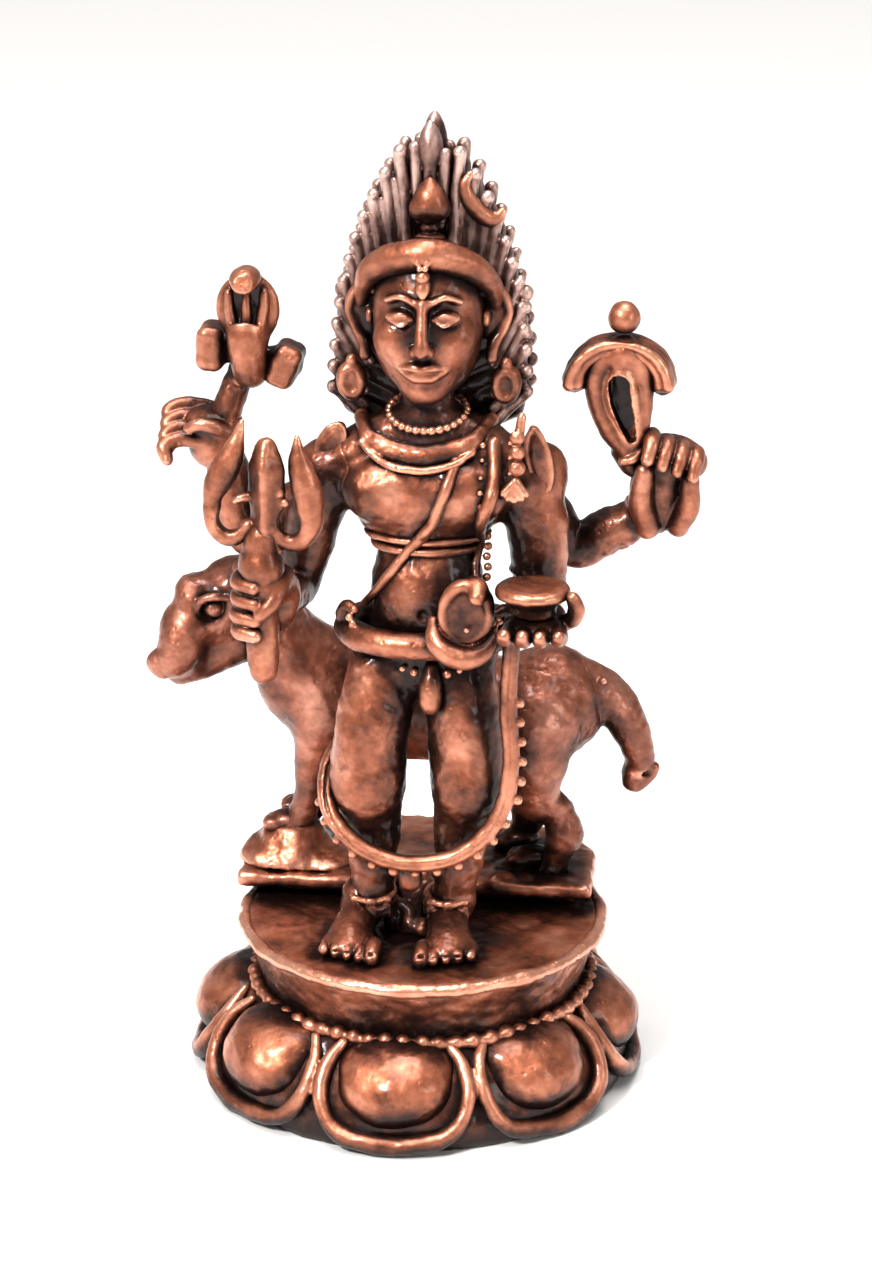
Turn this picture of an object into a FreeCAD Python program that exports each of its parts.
"""Four-armed standing guardian figure with a dog, on a round lotus pedestal: a small cast copper statue.

Millimetres, +Z up. The origin is the centre of the pedestal's flat underside. The figure faces -Y, and
"right" and "left" are the figure's own, so its right side is at -X. Every piece that a founder models on
its own before the casting is joined is one node, and pieces that touch meet face to face.
"""

import FreeCAD
import Part
import math
import os

V = FreeCAD.Vector
Z_AXIS = V(0, 0, 1)

# Driving dimensions
HEIGHT = 88.9  # underside to the tip of the hair, 3.5 inches
SEAT_Z = 15.0  # top of the pedestal, where the feet stand
LOTUS_TOP_Z = 8.6
SEAT_R = 16.6  # pedestal drum, at its top
RIM_R = 17.1  # outermost edge of the drum's lip
FOOT_R = 19.8  # pedestal underside
LOTUS_X = -0.6  # the lotus was set slightly to one side of the seat
PETALS = 8
BEADS = 62  # in the course between lotus and drum
FIGURE_X = 0.9  # the figure stands slightly to its left of the pedestal's axis
BODY_Y = -3.8
HIP_Z = 41.0
CHEST_Z = 57.0
SHOULDER_Z = 59.6
HEAD_Z = 71.4
HEAD_RADII = V(4.8, 4.7, 7.1)
DOG_Y = 7.6
PLINTH_Z = 17.3  # top of the dog's plinth
SLIVER_MM3 = 0.02  # crumbs smaller than this are left off after a cut


# ---------- shapes ----------


def ball(centre, radius):
    return Part.makeSphere(radius, centre)


def egg(centre, radii, tilt=0.0, axis=V(0, 1, 0)):
    """Ellipsoid with the given half sizes, turned by tilt degrees about axis through its centre."""
    stretch = FreeCAD.Matrix()
    stretch.scale(radii)
    shape = Part.makeSphere(1.0).transformGeometry(stretch)
    shape.rotate(V(0, 0, 0), axis, tilt)
    shape.translate(centre)
    return shape


def rod(start, end, radius):
    return Part.makeCylinder(radius, (end - start).Length, start, end - start)


def limb(stations):
    """Solid through circles at (point, radius) stations, each square to the line between its neighbours."""
    points = [p for p, _ in stations]
    rings = []
    for i, (point, radius) in enumerate(stations):
        along = points[min(i + 1, len(points) - 1)] - points[max(i - 1, 0)]
        rings.append(Part.Wire(Part.Circle(point, along, radius).toShape()))
    return Part.makeLoft(rings, True, False)


def stack(levels):
    """Solid through level ellipses given as (z, centre x, centre y, half width, half depth)."""
    rings = []
    for z, x, y, half_x, half_y in levels:
        if half_x >= half_y:
            curve = Part.Ellipse(V(x + half_x, y, z), V(x, y + half_y, z), V(x, y, z))
        else:
            curve = Part.Ellipse(V(x, y + half_y, z), V(x - half_x, y, z), V(x, y, z))
        rings.append(Part.Wire(curve.toShape()))
    return Part.makeLoft(rings, True, False)


def cord(points, radius, closed=False):
    """Round bar of one radius along a smooth curve through the points."""
    curve = Part.BSplineCurve()
    curve.interpolate(points, PeriodicFlag=closed)
    path = Part.Wire(curve.toShape())
    start = curve.value(curve.FirstParameter)
    tangent = curve.tangent(curve.FirstParameter)[0]
    ring = Part.Wire(Part.Circle(start, tangent, radius).toShape())
    return path.makePipeShell([ring], True, False)


def hoop(centre, half_x, half_y, radius, tilt=0.0):
    """Round bar bent into a level ellipse, tilted by degrees about X so that its front drops."""
    turn = FreeCAD.Rotation(V(1, 0, 0), tilt)
    steps = 12
    points = []
    for i in range(steps):
        a = 2 * math.pi * i / steps
        points.append(centre + turn.multVec(V(half_x * math.sin(a), -half_y * math.cos(a), 0)))
    return cord(points, radius, closed=True)


def revolve(profile):
    """Solid of revolution about Z from (radius, z) corners."""
    corners = [V(r, 0, z) for r, z in profile]
    face = Part.Face(Part.makePolygon(corners + corners[:1]))
    return face.revolve(V(0, 0, 0), Z_AXIS, 360)


def solids(*shapes):
    """The solids worth keeping in the shapes, as one list."""
    return [s for shape in shapes for s in shape.Solids if s.Volume > SLIVER_MM3]


def carve(piece, others):
    """The solids left of a piece when whatever it shares with the others is cut away."""
    kept = [piece]
    for other in others:
        left = []
        for part in kept:
            if part.BoundBox.intersect(other.BoundBox):
                left += solids(part.cut(other))
            else:
                left.append(part)
        kept = left
    return kept


NODES = {}


def node(name, *shapes):
    """Adds a named node. Where it would overlap an earlier node, or itself, the earlier solid keeps the space."""
    earlier = [s for group in NODES.values() for s in group]
    own = []
    for shape in shapes:
        for solid in solids(shape):
            own += carve(solid, earlier + own)
    NODES[name] = own


# ---------- pedestal ----------


def petal_point(side, drop):
    """Point of a lotus petal's edge: side across and drop below the petal's middle, on the plinth's slope."""
    z = 5.1 - drop
    radius = 19.9 - 0.075 * (z - 1.5) ** 2
    return V(side, -math.sqrt(radius**2 - side**2), z)


def pedestal():
    slope = [(FOOT_R, 0), (20.1, 0.9), (19.6, 2.4), (18.6, 5.0), (16.4, 7.6), (15.0, LOTUS_TOP_Z)]
    lotus = revolve([(0, 0)] + slope + [(0, LOTUS_TOP_Z)])
    wall = [(15.0, LOTUS_TOP_Z), (15.2, 10.0), (15.7, 12.0), (SEAT_R, 14.2), (SEAT_R, 14.8)]
    drum = revolve([(0, LOTUS_TOP_Z)] + wall + [(0, 14.8)])
    rim = hoop(V(0, 0, SEAT_Z - 0.55), SEAT_R, SEAT_R, RIM_R - SEAT_R)
    petal = egg(V(0, -16.3, 4.9), V(5.7, 4.6, 3.9))
    angles = [math.radians(15 * k) for k in range(-7, 8)]
    edge = cord([petal_point(6.4 * math.sin(a), 4.0 * math.cos(a)) for a in angles], 0.62)
    lotus.translate(V(LOTUS_X, 0, 0))
    turned = []
    edges = []
    for k in range(PETALS):
        for source, group in ((petal, turned), (edge, edges)):
            copy = source.copy()
            copy.rotate(V(0, 0, 0), Z_AXIS, 360.0 * k / PETALS)
            copy.translate(V(LOTUS_X, 0, 0))
            group.append(copy)
    beads = []
    for k in range(BEADS):
        a = 2 * math.pi * k / BEADS
        beads.append(ball(V(15.6 * math.sin(a), -15.6 * math.cos(a), 8.9), 0.76))
    node("lotus_base", lotus)
    node("seat_drum", drum)
    node("seat_rim", rim)
    node("lotus_petals", *turned)
    node("petal_edges", *edges)
    node("bead_course", *beads)


def dog_plinth():
    plate = Part.makeBox(33.0, 16.2, 1.3, V(-17.5, 0.8, PLINTH_Z - 1.3))
    plate = plate.common(Part.makeCylinder(19.0, 1.3, V(0, 0, PLINTH_Z - 1.3)))
    riser = Part.makeBox(31.0, 14.0, 1.2, V(-16.0, 2.2, PLINTH_Z - 2.5))
    riser = riser.common(Part.makeCylinder(16.6, 1.2, V(0, 0, PLINTH_Z - 2.5)))
    mound = ((0, 3.9, 4.8), (1.0, 3.75, 4.6), (2.0, 3.1, 3.8), (2.9, 1.8, 2.2))
    node("dog_plinth", riser, plate)
    node("plinth_mound", stack([(PLINTH_Z + rise, -13.0, 6.6, x, y) for rise, x, y in mound]))


# ---------- dog ----------


def dog():
    y = DOG_Y
    body = limb(
        [
            (V(14.6, y, 34.0), 1.8),
            (V(13.6, y, 33.6), 3.6),
            (V(10.5, y, 33.1), 4.6),
            (V(4.0, y, 32.2), 4.9),
            (V(-3.0, y, 32.4), 5.1),
            (V(-8.5, y, 33.8), 5.2),
            (V(-12.4, y - 0.4, 35.6), 4.6),
            (V(-14.8, y - 1.0, 38.6), 3.6),
            (V(-16.8, y - 2.4, 41.6), 3.0),
        ]
    )
    skull = egg(V(-18.4, 4.4, 43.6), V(4.0, 3.1, 3.3), 30)
    muzzle = limb(
        [
            (V(-18.6, 3.6, 42.6), 2.9),
            (V(-21.3, 2.6, 40.9), 2.2),
            (V(-24.0, 1.6, 39.0), 1.5),
            (V(-25.2, 1.2, 38.2), 0.8),
        ]
    )
    ears = []
    for side in (-1, 1):
        root = V(-16.9, 4.4 + side * 2.2, 45.4)
        ears.append(limb([(root, 1.0), (root + V(0.9, side * 0.5, 1.1), 1.15), (root + V(2.2, side * 0.7, 1.7), 0.45)]))
    eyes = [ball(V(-19.2, 3.6 + side * 2.75, 43.9), 0.6) for side in (-1, 1)]
    fore_line = ((0, 31.0, 2.5), (-0.8, 26.5, 1.7), (-1.2, 22.0, 1.25), (-1.6, 20.0, 1.3))
    hind_line = ((0, 32.5, 3.4), (1.4, 27.5, 2.9), (2.6, 23.0, 1.6), (3.0, 20.4, 1.35), (2.0, PLINTH_Z, 1.2))
    fore = []
    for x, fy in ((-11.2, y - 2.4), (-10.2, y + 2.4)):
        fore.append(limb([(V(x + dx, fy, z), r) for dx, z, r in fore_line]))
    hind = []
    for x, hy in ((9.9, y - 2.0), (8.3, y + 2.2)):
        hind.append(limb([(V(x + dx, hy, z), r) for dx, z, r in hind_line]))
    paws = []
    places = ((-12.8, y - 2.4, 20.5), (-11.8, y + 2.4, 20.5), (11.9, y - 2.0, PLINTH_Z), (10.3, y + 2.2, PLINTH_Z))
    for x, py, z in places:
        paw = [(V(x, py, z + 0.95), 0.95), (V(x - 1.4, py, z + 0.9), 0.95), (V(x - 2.6, py, z + 0.7), 0.65)]
        paws.append(limb(paw))
    tail = limb(
        [
            (V(13.4, y + 0.2, 36.0), 1.4),
            (V(15.4, y + 0.5, 32.4), 1.8),
            (V(17.2, y + 0.9, 28.6), 1.7),
            (V(18.6, y + 1.2, 26.0), 1.25),
            (V(19.8, y + 1.4, 25.3), 0.95),
            (V(20.9, y + 1.4, 26.0), 0.6),
        ]
    )
    node("dog_body", body)
    node("dog_head", skull.fuse(muzzle), *eyes)
    node("dog_ears", *ears)
    node("dog_forelegs", *fore)
    node("dog_hind_legs", *hind)
    node("dog_paws", *paws)
    node("dog_tail", tail)


# ---------- figure ----------

TORSO = [  # z, centre x, centre y, half width, half depth
    (38.2, FIGURE_X, BODY_Y, 5.0, 2.9),
    (HIP_Z, FIGURE_X, BODY_Y, 6.7, 3.9),
    (44.2, FIGURE_X, BODY_Y, 6.3, 3.8),
    (47.5, FIGURE_X, BODY_Y, 5.6, 3.5),
    (51.0, FIGURE_X, BODY_Y - 0.1, 5.9, 3.8),
    (54.0, FIGURE_X, BODY_Y - 0.3, 6.5, 4.3),
    (CHEST_Z, FIGURE_X, BODY_Y - 0.3, 6.9, 4.6),
    (SHOULDER_Z, FIGURE_X, BODY_Y, 7.0, 4.1),
    (62.0, FIGURE_X, BODY_Y + 0.4, 4.6, 3.0),
    (63.0, FIGURE_X, BODY_Y + 0.4, 2.9, 2.6),
]


def torso_size(z):
    """Centre y, half width and half depth of the torso at a height, between the levels of its stack."""
    for low, high in zip(TORSO, TORSO[1:]):
        if low[0] <= z <= high[0]:
            share = (z - low[0]) / (high[0] - low[0])
            return [low[k] + share * (high[k] - low[k]) for k in (2, 3, 4)]
    raise ValueError("height is off the torso")


def on_torso(x, z, lift):
    """Point on the front of the torso, lifted off the skin."""
    centre_y, half_x, half_y = torso_size(z)
    across = min(0.97, abs(x - FIGURE_X) / half_x)
    return V(x, centre_y - half_y * math.sqrt(1 - across**2) - lift, z)


def leg(side, hip_x, knee_x, ankle_x):
    return limb(
        [
            (V(hip_x, BODY_Y, HIP_Z - 0.6), 2.9),
            (V(hip_x + 0.3 * side, BODY_Y - 0.8, 37.0), 3.3),
            (V(knee_x, BODY_Y - 1.8, 31.6), 3.3),
            (V(knee_x, BODY_Y - 2.0, 28.2), 3.0),
            (V(knee_x - 0.2 * side, BODY_Y - 1.5, 24.6), 2.2),
            (V(ankle_x, BODY_Y - 1.4, 20.5), 1.9),
            (V(ankle_x, BODY_Y - 1.4, 17.6), 2.0),
        ]
    )


def foot(side, heel_x, toe_x):
    heel_y = BODY_Y - 0.6
    toe_y = -12.0
    sole = stack_foot(heel_x, heel_y, toe_x, toe_y)
    toes = []
    for k in range(5):
        across = toe_x + side * (-2.2 + 1.1 * k)
        radius = 0.85 if k == 0 else 0.62 - 0.04 * k
        tip_y = toe_y - 1.3 + 0.25 * k
        root = V(across, toe_y + 0.9, SEAT_Z + 1.0)
        pad = V(across, toe_y, SEAT_Z + 0.85)
        tip = V(across, tip_y, SEAT_Z + 0.7)
        toes.append(limb([(root, radius * 0.8), (pad, radius), (tip, radius * 0.65)]))
    return [sole] + toes


def stack_foot(heel_x, heel_y, toe_x, toe_y):
    """Sole and instep as one solid, from the heel forward to the roots of the toes."""
    stations = [(0.0, 1.3, 1.5), (0.2, 2.0, 3.0), (0.45, 2.2, 3.0), (0.75, 2.5, 1.9), (1.0, 2.6, 1.2)]
    rings = []
    for share, half_x, height in stations:
        x = heel_x + share * (toe_x - heel_x)
        y = heel_y + 2.2 + share * (toe_y - heel_y - 2.2)
        z = SEAT_Z - 0.2 + height / 2
        half_z = height / 2
        if half_x >= half_z:
            curve = Part.Ellipse(V(x + half_x, y, z), V(x, y, z + half_z), V(x, y, z))
        else:
            curve = Part.Ellipse(V(x, y, z + half_z), V(x + half_x, y, z), V(x, y, z))
        rings.append(Part.Wire(curve.toShape()))
    return Part.makeLoft(rings, True, False)


def body():
    node("torso", stack(TORSO))
    neck = [(62.0, 2.7), (64.5, 2.4), (67.0, 2.6)]
    node("neck", limb([(V(FIGURE_X, BODY_Y + 0.5, z), radius) for z, radius in neck]))
    node("right_leg", leg(-1, -3.1, -4.5, -4.0))
    node("left_leg", leg(1, 4.6, 4.1, 2.9))
    node("right_foot", *foot(-1, -4.0, -6.0))
    node("left_foot", *foot(1, 2.9, 3.6))


def head():
    centre = V(FIGURE_X, -3.2, HEAD_Z)
    skull = egg(centre, HEAD_RADII)
    nose = egg(centre + V(0, -HEAD_RADII.y - 0.1, -0.9), V(0.85, 0.9, 1.5))
    node("head", skull.fuse(nose))
    ears = []
    for side in (-1, 1):
        x = centre.x + side * (HEAD_RADII.x + 0.3)
        levels = ((-3.0, 0.5, 0.6), (-1.6, 0.75, 0.9), (0.2, 0.8, 1.1), (1.6, 0.5, 0.7))
        ears.append(stack([(centre.z + rise, x, centre.y + 0.6, half_x, half_y) for rise, half_x, half_y in levels]))
    node("ears", *ears)
    discs = []
    for side in (-1, 1):
        front = centre + V(side * (HEAD_RADII.x + 1.9), -0.4, -5.2)
        discs.append(rod(front, front + V(0, 1.6, 0), 1.45))
    node("ear_discs", *discs)
    band = limb(
        [
            (centre + V(-5.9, 1.2, 1.0), 0.6),
            (centre + V(-5.1, -0.4, 3.4), 0.95),
            (centre + V(-3.4, -2.0, 5.2), 1.2),
            (centre + V(0, -3.1, 6.2), 1.35),
            (centre + V(3.4, -2.0, 5.2), 1.2),
            (centre + V(5.1, -0.4, 3.4), 0.95),
            (centre + V(5.9, 1.2, 1.0), 0.6),
        ]
    )
    node("headband", band)
    mark = egg(centre + V(0, -HEAD_RADII.y + 0.6, 3.2), V(0.75, 0.6, 1.1))
    node("forehead_mark", mark, ball(centre + V(0, -HEAD_RADII.y + 0.5, 4.7), 0.6))


HAIR_Y = -0.6
HAIR_LOCKS = 12  # on each side of the middle lock
HAIR_FALL = 23.8  # from the peak down to where the flame of hair is widest
HAIR_HALF = 9.1


def lock_point(k, back, y):
    """Point on the lock k places from the middle one, the given distance back from its tip."""
    count = abs(k)
    side = -1 if k < 0 else 1
    fall = 0 if count == 0 else 0.3 + 1.9 * count
    across = HAIR_HALF * math.sin(math.pi / 2 * (fall / HAIR_FALL) ** 0.7)
    lean = math.radians(0 if count == 0 else 4 + 40 * (count / HAIR_LOCKS) ** 1.5)
    x = FIGURE_X + side * (across - back * math.sin(lean))
    return V(x, y, HEIGHT - fall - back * math.cos(lean))


def hair():
    count = range(-HAIR_LOCKS, HAIR_LOCKS + 1)
    outline = [lock_point(k, 1.9, HAIR_Y) for k in count]
    curve = Part.BSplineCurve()
    curve.interpolate(outline)
    closing = Part.makePolygon([outline[-1], outline[0]])
    face = Part.Face(Part.Wire([curve.toShape()] + closing.Edges))
    node("hair_plate", face.extrude(V(0, 2.4, 0)))
    locks = []
    for y in (HAIR_Y - 0.1, HAIR_Y + 2.5):
        for k in count:
            length = 8.5 - 0.42 * abs(k)
            thick = 0.9 if k == 0 else 0.58
            stations = [(length, thick * 0.7), (length * 0.5, thick), (0.9, thick * 1.05), (0, thick * 0.55)]
            locks.append(limb([(lock_point(k, back, y), radius) for back, radius in stations]))
    node("hair_locks", *locks)
    top = V(FIGURE_X + 0.1, -2.4, 81.0)
    knot = ((-2.6, 0.9), (-1.5, 1.4), (0, 1.75), (1.6, 1.2), (2.8, 0.45))
    node("topknot", limb([(top + V(0, 0, rise), radius) for rise, radius in knot]))
    middle = V(5.7, -1.8, 82.2)
    arc = []
    for k, radius in zip(range(-3, 4), (0.35, 0.65, 0.85, 0.95, 0.85, 0.65, 0.35)):
        a = math.radians(222 + 36 * k)
        arc.append((middle + V(2.0 * math.cos(a), 0, 2.0 * math.sin(a)), radius))
    node("crescent_moon", limb(arc))


# ---------- what the hands hold, and the arms ----------

TRIDENT = V(-12.7, -11.0, 40.9)  # lower end of the shaft
BOWL = V(10.7, -10.6, 48.2)  # middle of the bowl's base
DRUM = V(-15.2, -0.6, 67.6)
NOOSE = V(17.4, 0.0, 65.0)


def arm(shoulder, elbow, wrist, upper, lower):
    middle = (shoulder + elbow) * 0.5
    return limb(
        [
            (shoulder, upper * 0.9),
            (shoulder + (elbow - shoulder) * 0.2, upper * 1.05),
            (middle, upper),
            (elbow + (shoulder - elbow) * 0.12, upper * 0.85),
            (elbow + (wrist - elbow) * 0.25, lower * 1.1),
            (elbow + (wrist - elbow) * 0.65, lower),
            (wrist, lower * 0.85),
        ]
    )


def fist(palm, radii, grip, out, across):
    """Palm with four fingers curled towards grip. The knuckles point out; across is along the fist."""
    parts = [egg(palm, radii)]
    for k in range(4):
        root = palm + out * 1.7 + across * (1.35 * (1.5 - k))
        knuckle = root + out * 1.3
        joint = knuckle + grip * 1.3 + out * 0.3
        tip = knuckle + grip * 2.4 - out * 0.8
        parts.append(limb([(root, 0.6), (knuckle, 0.78), (joint, 0.72), (tip, 0.5)]))
    return parts


def trident():
    shaft = ((0, 0.9), (0.5, 1.3), (3.0, 1.45), (13.2, 1.5))
    node("trident_shaft", limb([(TRIDENT + V(0, 0, rise), radius) for rise, radius in shaft]))
    root = TRIDENT + V(0.1, 0, 13.2)
    prong = ((0, 0, 1.5), (0, 2.4, 1.35), (0, 5.4, 1.5), (0.2, 7.6, 1.1), (0.3, 8.9, 0.5))
    middle = limb([(root + V(x, 0, rise), radius) for x, rise, radius in prong])
    loop = ((0.9, -0.4), (2.2, -0.7), (3.6, 0.6), (3.9, 2.6), (3.4, 5.0), (2.6, 7.6), (2.1, 9.6))
    widths = (0.7, 0.75, 0.95, 1.3, 1.35, 0.9, 0.35)
    sides = []
    for side in (-1, 1):
        sides.append(limb([(root + V(side * x, 0, z), r) for (x, z), r in zip(loop, widths)]))
    node("trident_head", middle, *sides)


def bowl():
    hollow = Part.makeSphere(4.2, BOWL + V(0, 0, 5.5))
    node("skull_bowl", Part.makeCone(1.9, 3.1, 2.4, BOWL).cut(hollow))


def drum():
    tilt = FreeCAD.Rotation(V(0, 1, 0), 12)
    along = tilt.multVec(V(1, 0, 0))
    waist = ((-4.4, 1.7), (-3.4, 1.95), (-1.6, 1.3), (0, 1.0), (1.6, 1.3), (3.4, 1.95), (4.4, 1.7))
    node("hand_drum", limb([(DRUM + along * x, radius) for x, radius in waist]))
    handle = ((-2.6, -0.1, -5.6, 1.3), (-1.2, -0.1, -3.6, 1.2), (-0.4, 0, -1.0, 1.3))
    node("drum_handle", limb([(DRUM + V(x, y, z), radius) for x, y, z, radius in handle]))
    levels = ((0.2, 1.0, 0.7), (1.8, 2.3, 0.85), (3.8, 2.75, 0.9), (5.8, 2.2, 0.85), (7.2, 1.3, 0.7))
    middle = DRUM + V(0.2, -0.6, 0)
    hood = stack([(middle.z + rise, middle.x, middle.y, half_x, half_y) for rise, half_x, half_y in levels])
    neck = ((0.1, -0.8, -1.2, 1.5), (0.1, -0.9, 1.6, 1.3), (0.2, -0.9, 5.0, 0.9))
    crest = ((0.2, 0.2, 7.3, 0.7), (0.2, -0.8, 7.7, 1.2), (0.2, -2.0, 7.5, 1.15), (0.2, -3.2, 7.1, 0.7))
    snake = [limb([(DRUM + V(x, y, z), radius) for x, y, z, radius in line]) for line in (neck, crest)]
    node("drum_cobra", snake[0], hood, snake[1])


def noose():
    tip = NOOSE + V(1.7, 0, -4.8)
    loop = [(tip + V(0.4, 0, 0.4), 0.9)]
    for k, radius in zip(range(-3, 4), (1.25, 1.45, 1.6, 1.6, 1.6, 1.45, 1.25)):
        a = math.radians(90 + 38 * k)
        loop.append((NOOSE + V(2.0 * math.cos(a), 0, 1.2 + 2.4 * math.sin(a)), radius))
    node("noose", limb(loop + [(tip, 0.9)]))
    cap = []
    for k in range(-4, 5):
        a = math.radians(90 - 21 * k)
        cap.append((NOOSE + V(5.0 * math.cos(a), 0, 0.6 + 4.9 * math.sin(a)), 0.8))
    node("noose_cap", limb(cap))
    node("noose_knob", egg(NOOSE + V(0.4, 0, 6.9), V(1.4, 1.4, 1.6)))


def arms():
    shoulder_z = SHOULDER_Z - 0.6
    rear_z = SHOULDER_Z - 1.6
    front_right = arm(V(-6.4, -3.8, shoulder_z), V(-11.0, -2.8, 47.6), V(-11.6, -8.8, 47.6), 2.35, 1.75)
    front_left = arm(V(8.6, -3.8, shoulder_z), V(11.0, -2.6, 48.6), V(10.9, -7.6, 46.6), 2.7, 1.85)
    rear_right = arm(V(-6.2, -0.8, rear_z), V(-16.2, 1.6, 49.0), V(-18.3, 0.4, 57.0), 2.2, 1.9)
    rear_left = arm(V(8.2, -0.8, rear_z), V(14.2, 3.2, 48.8), V(19.6, 1.6, 52.6), 2.2, 2.0)
    node("front_right_arm", front_right)
    node("front_left_arm", front_left)
    node("rear_right_arm", rear_right)
    node("rear_left_arm", rear_left)


def hands():
    ahead = V(0, -1, 0)
    front = fist(V(-11.4, -9.6, 48.0), V(1.9, 1.8, 2.9), ahead, V(-1, -0.3, 0), V(0, 0, 1))
    rear_right = fist(V(-18.4, -0.2, 60.2), V(2.6, 2.2, 2.4), ahead, V(-1, 0, 0.1), V(0.1, 0.3, 0.9))
    rear_left = fist(V(20.6, 0.4, 55.4), V(2.4, 2.2, 2.9), V(0.5, -1, -0.3), V(0.3, 0, 1), V(-1, 0, 0.35))
    node("front_right_hand", *front)
    node("front_left_hand", *open_hand(V(10.8, -9.6, 46.6)))
    node("rear_right_hand", *rear_right)
    node("rear_left_hand", *rear_left)


def open_hand(palm):
    """Palm up, under the bowl, with four fingers forward and the thumb up its outer side."""
    levels = ((-1.2, 1.8, 1.7), (-0.5, 2.7, 2.6), (0.5, 2.9, 2.8), (1.1, 2.3, 2.2))
    parts = [stack([(palm.z + rise, palm.x, palm.y, half_x, half_y) for rise, half_x, half_y in levels])]
    for k in range(4):
        root = palm + V(-2.0 + 1.35 * k, -1.9, 0)
        parts.append(limb([(root, 0.7), (root + V(0, -1.6, -0.1), 0.75), (root + V(0, -2.9, 0.3), 0.55)]))
    thumb = ((2.4, -0.6, 0.2, 0.75), (3.3, -1.6, 1.4, 0.75), (3.2, -2.2, 2.8, 0.5))
    parts.append(limb([(palm + V(x, y, z), radius) for x, y, z, radius in thumb]))
    return parts


# ---------- ornaments ----------


def serpent():
    middle = V(FIGURE_X, BODY_Y, 0)
    node("waist_serpent", hoop(middle + V(0, 0, 44.0), 7.1, 4.7, 1.1, 3))
    hood = limb([(V(4.8, -10.6, 47.1), 2.1), (V(4.9, -10.0, 47.3), 2.6), (V(5.0, -9.2, 47.5), 2.1)])
    coil = ((2.4, -8.9, 43.5, 1.0), (4.6, -9.6, 43.0, 1.1), (6.6, -9.6, 43.8, 0.9), (7.4, -9.0, 45.2, 0.6))
    neck = limb([(V(x, y, z), radius) for x, y, z, radius in coil])
    snout = limb([(V(5.9, -9.6, 49.7), 0.7), (V(6.1, -10.8, 49.6), 0.95), (V(6.2, -12.0, 49.2), 0.6)])
    node("serpent_hood", hood, neck, snout)


def worn():
    middle = V(FIGURE_X, BODY_Y, 0)
    node("belly_band", hoop(middle + V(0, -0.1, 52.3), 6.3, 4.2, 0.55))
    line = ((-4.0, 62.3), (-3.3, 61.3), (-1.8, 60.7), (0.6, 60.4), (3.3, 60.8), (5.0, 61.6), (5.6, 62.5))
    node("collar_band", cord([on_torso(x, z, 0.45) for x, z in line], 0.8))
    line = ((3.8, 59.6), (2.6, 57.2), (1.5, 54.4), (-0.6, 51.8), (-2.4, 49.4), (-4.4, 46.8))
    node("sacred_thread", cord([on_torso(x, z, 0.2) for x, z in line], 0.5))
    beads = []
    for k in range(22):
        a = 2 * math.pi * k / 22
        beads.append(ball(V(FIGURE_X + 3.3 * math.sin(a), -3.3 - 3.2 * math.cos(a), 64.1 - 0.5 * math.cos(a)), 0.42))
    node("neck_beads", *beads)
    tassel = (
        (9.1, -6.6, 63.2, 0.5),
        (8.9, -7.0, 61.9, 0.7),
        (8.8, -7.4, 60.4, 0.75),
        (8.7, -7.5, 58.9, 0.7),
        (8.4, -7.4, 57.5, 0.65),
    )
    node("shoulder_tassel", *[ball(V(x, y, z), radius) for x, y, z, radius in tassel])
    right = egg(V(-8.9, -5.6, 58.2), V(1.5, 1.6, 3.2), -14)
    left = egg(V(11.2, -5.4, 58.0), V(1.5, 1.6, 3.4), 8)
    node("shoulder_leaves", right, left)
    pendant = ((-7.6, 41.8, 0.7), (-8.0, 40.0, 0.95), (-8.1, 38.6, 0.85), (-8.1, 37.8, 0.45))
    node("belt_pendant", limb([(V(1.6, y, z), radius) for y, z, radius in pendant]))


def garland():
    loop = [
        V(-6.6, -3.2, 33.2),
        V(-7.9, -5.2, 30.6),
        V(-7.4, -7.6, 27.8),
        V(-5.4, -8.9, 25.5),
        V(-2.8, -9.5, 24.1),
        V(0.4, -9.7, 23.7),
        V(3.6, -9.7, 24.3),
        V(6.4, -9.4, 26.2),
        V(8.2, -9.1, 29.2),
        V(8.9, -9.0, 33.4),
        V(8.6, -9.0, 38.6),
        V(9.0, -9.2, 45.4),
    ]
    node("long_garland", cord(loop, 0.66))
    strand = [
        V(7.0, -6.2, 61.6),
        V(7.5, -7.3, 59.2),
        V(7.2, -7.7, 56.6),
        V(6.5, -7.7, 53.2),
        V(6.2, -7.2, 50.2),
        V(7.2, -6.9, 46.6),
    ]
    node("garland_strand", cord(strand, 0.5))


def anklets():
    rings = []
    for x in (-4.0, 2.9):
        for z in (18.2, 19.6):
            rings.append(hoop(V(x, BODY_Y - 1.4, z), 2.15, 2.15, 0.42))
    node("anklets", *rings)


def export():
    os.makedirs("parts", exist_ok=True)
    for name, shapes in NODES.items():
        good = [s.isValid() and s.Volume > 0 for s in shapes]
        print(name, len(shapes), round(sum(s.Volume for s in shapes), 2), "" if all(good) else "INVALID")
        Part.makeCompound(shapes).exportStep(f"parts/{name}.step")


pedestal()
dog_plinth()
dog()
body()
head()
hair()
trident()
bowl()
drum()
noose()
arms()
hands()
serpent()
worn()
garland()
anklets()
export()
